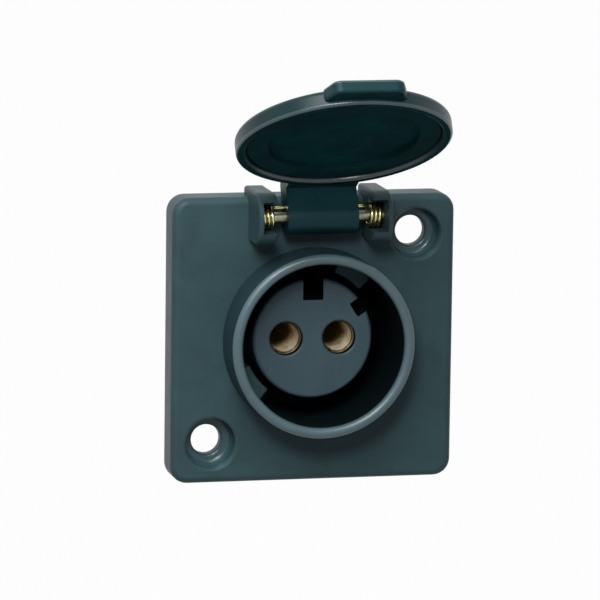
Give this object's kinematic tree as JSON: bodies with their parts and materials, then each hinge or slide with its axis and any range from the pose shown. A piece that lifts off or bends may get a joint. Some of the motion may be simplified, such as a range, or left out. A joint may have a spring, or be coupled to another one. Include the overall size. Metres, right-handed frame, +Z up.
{
  "type": "low_voltage_socket",
  "caption": "Panel-mounted low-voltage socket with a square flange, round collar, keyed contact insert and a sprung hinged lid standing open",
  "frame": {"origin": "centre of the flange's back face, on the panel", "axes": "X to the right, Z up, the socket faces -Y and its barrel goes into the panel along +Y"},
  "size_m": [0.05, 0.0764, 0.075],
  "materials": {
    "housing_plastic": "satin",
    "lid_plastic": "satin",
    "insert_plastic": "satin",
    "black_rubber": "matte",
    "brass": "satin",
    "yellow_zinc": "satin",
    "steel": "satin"
  },
  "bodies": {
    "socket": {"housing": "housing_plastic", "contact_insert": "insert_plastic", "insert_seal": "black_rubber", "clamp_ring": "steel", "insert_screws": "steel", "contact_retainer": "insert_plastic", "retainer_screws": "steel", "left_contact": "brass", "right_contact": "brass", "left_contact_spring": "steel", "right_contact_spring": "steel", "terminal_screws": "steel", "hinge_pin": "brass"},
    "lid": {"lid": "lid_plastic", "lid_gasket": "black_rubber", "left_hinge_spring": "yellow_zinc", "right_hinge_spring": "yellow_zinc"}
  },
  "joints": [
    {"name": "lid_hinge", "type": "hinge", "parent": "socket", "child": "lid", "pos_m": [0, -0.0098, 0.022], "axis": [-1, 0, 0], "range_deg": [-120, 5]}
  ]
}
